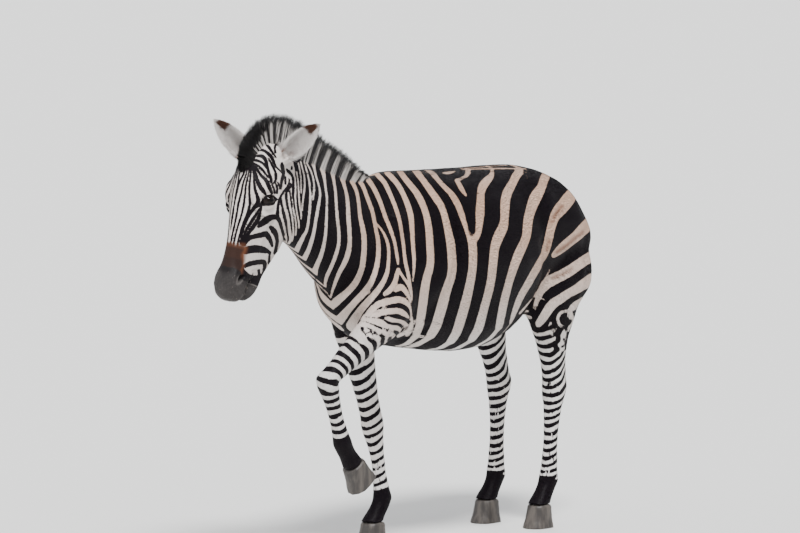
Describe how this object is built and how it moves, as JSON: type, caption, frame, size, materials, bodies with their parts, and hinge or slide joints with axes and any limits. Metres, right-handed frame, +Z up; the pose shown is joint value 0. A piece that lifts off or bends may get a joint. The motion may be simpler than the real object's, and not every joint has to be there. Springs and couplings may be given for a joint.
{
  "type": "life-size plains zebra model",
  "caption": "Still life-size zebra walking with one forefoot lifted, head low, upright mane, hanging tail; stands by itself on its hooves.",
  "frame": {"origin": "middle of the body's box, on the floor under it", "axes": "+Z up, the zebra faces -X, its left side is -Y"},
  "size_m": [1.8668, 0.58, 1.5394],
  "materials": {
    "coat": "short flat hair, black and off-white stripes, bare dark skin on the muzzle",
    "hoof": "dark grey horn with fine growth rings",
    "eye": "wet dark brown",
    "mane": "stiff upright hair, black at the edge, striped below",
    "tail": "striped dock with a long dark and pale tuft"
  },
  "bodies": {
    "root": {"head": "coat", "neck": "coat", "trunk": "coat", "foreleg_left": "coat", "foreleg_right": "coat", "hindleg_left": "coat", "hindleg_right": "coat", "ear_left": "coat", "ear_right": "coat", "forehoof_left": "hoof", "forehoof_right": "hoof", "hindhoof_left": "hoof", "hindhoof_right": "hoof", "eye_left": "eye", "eye_right": "eye", "mane": "mane", "tail": "tail"}
  },
  "joints": []
}
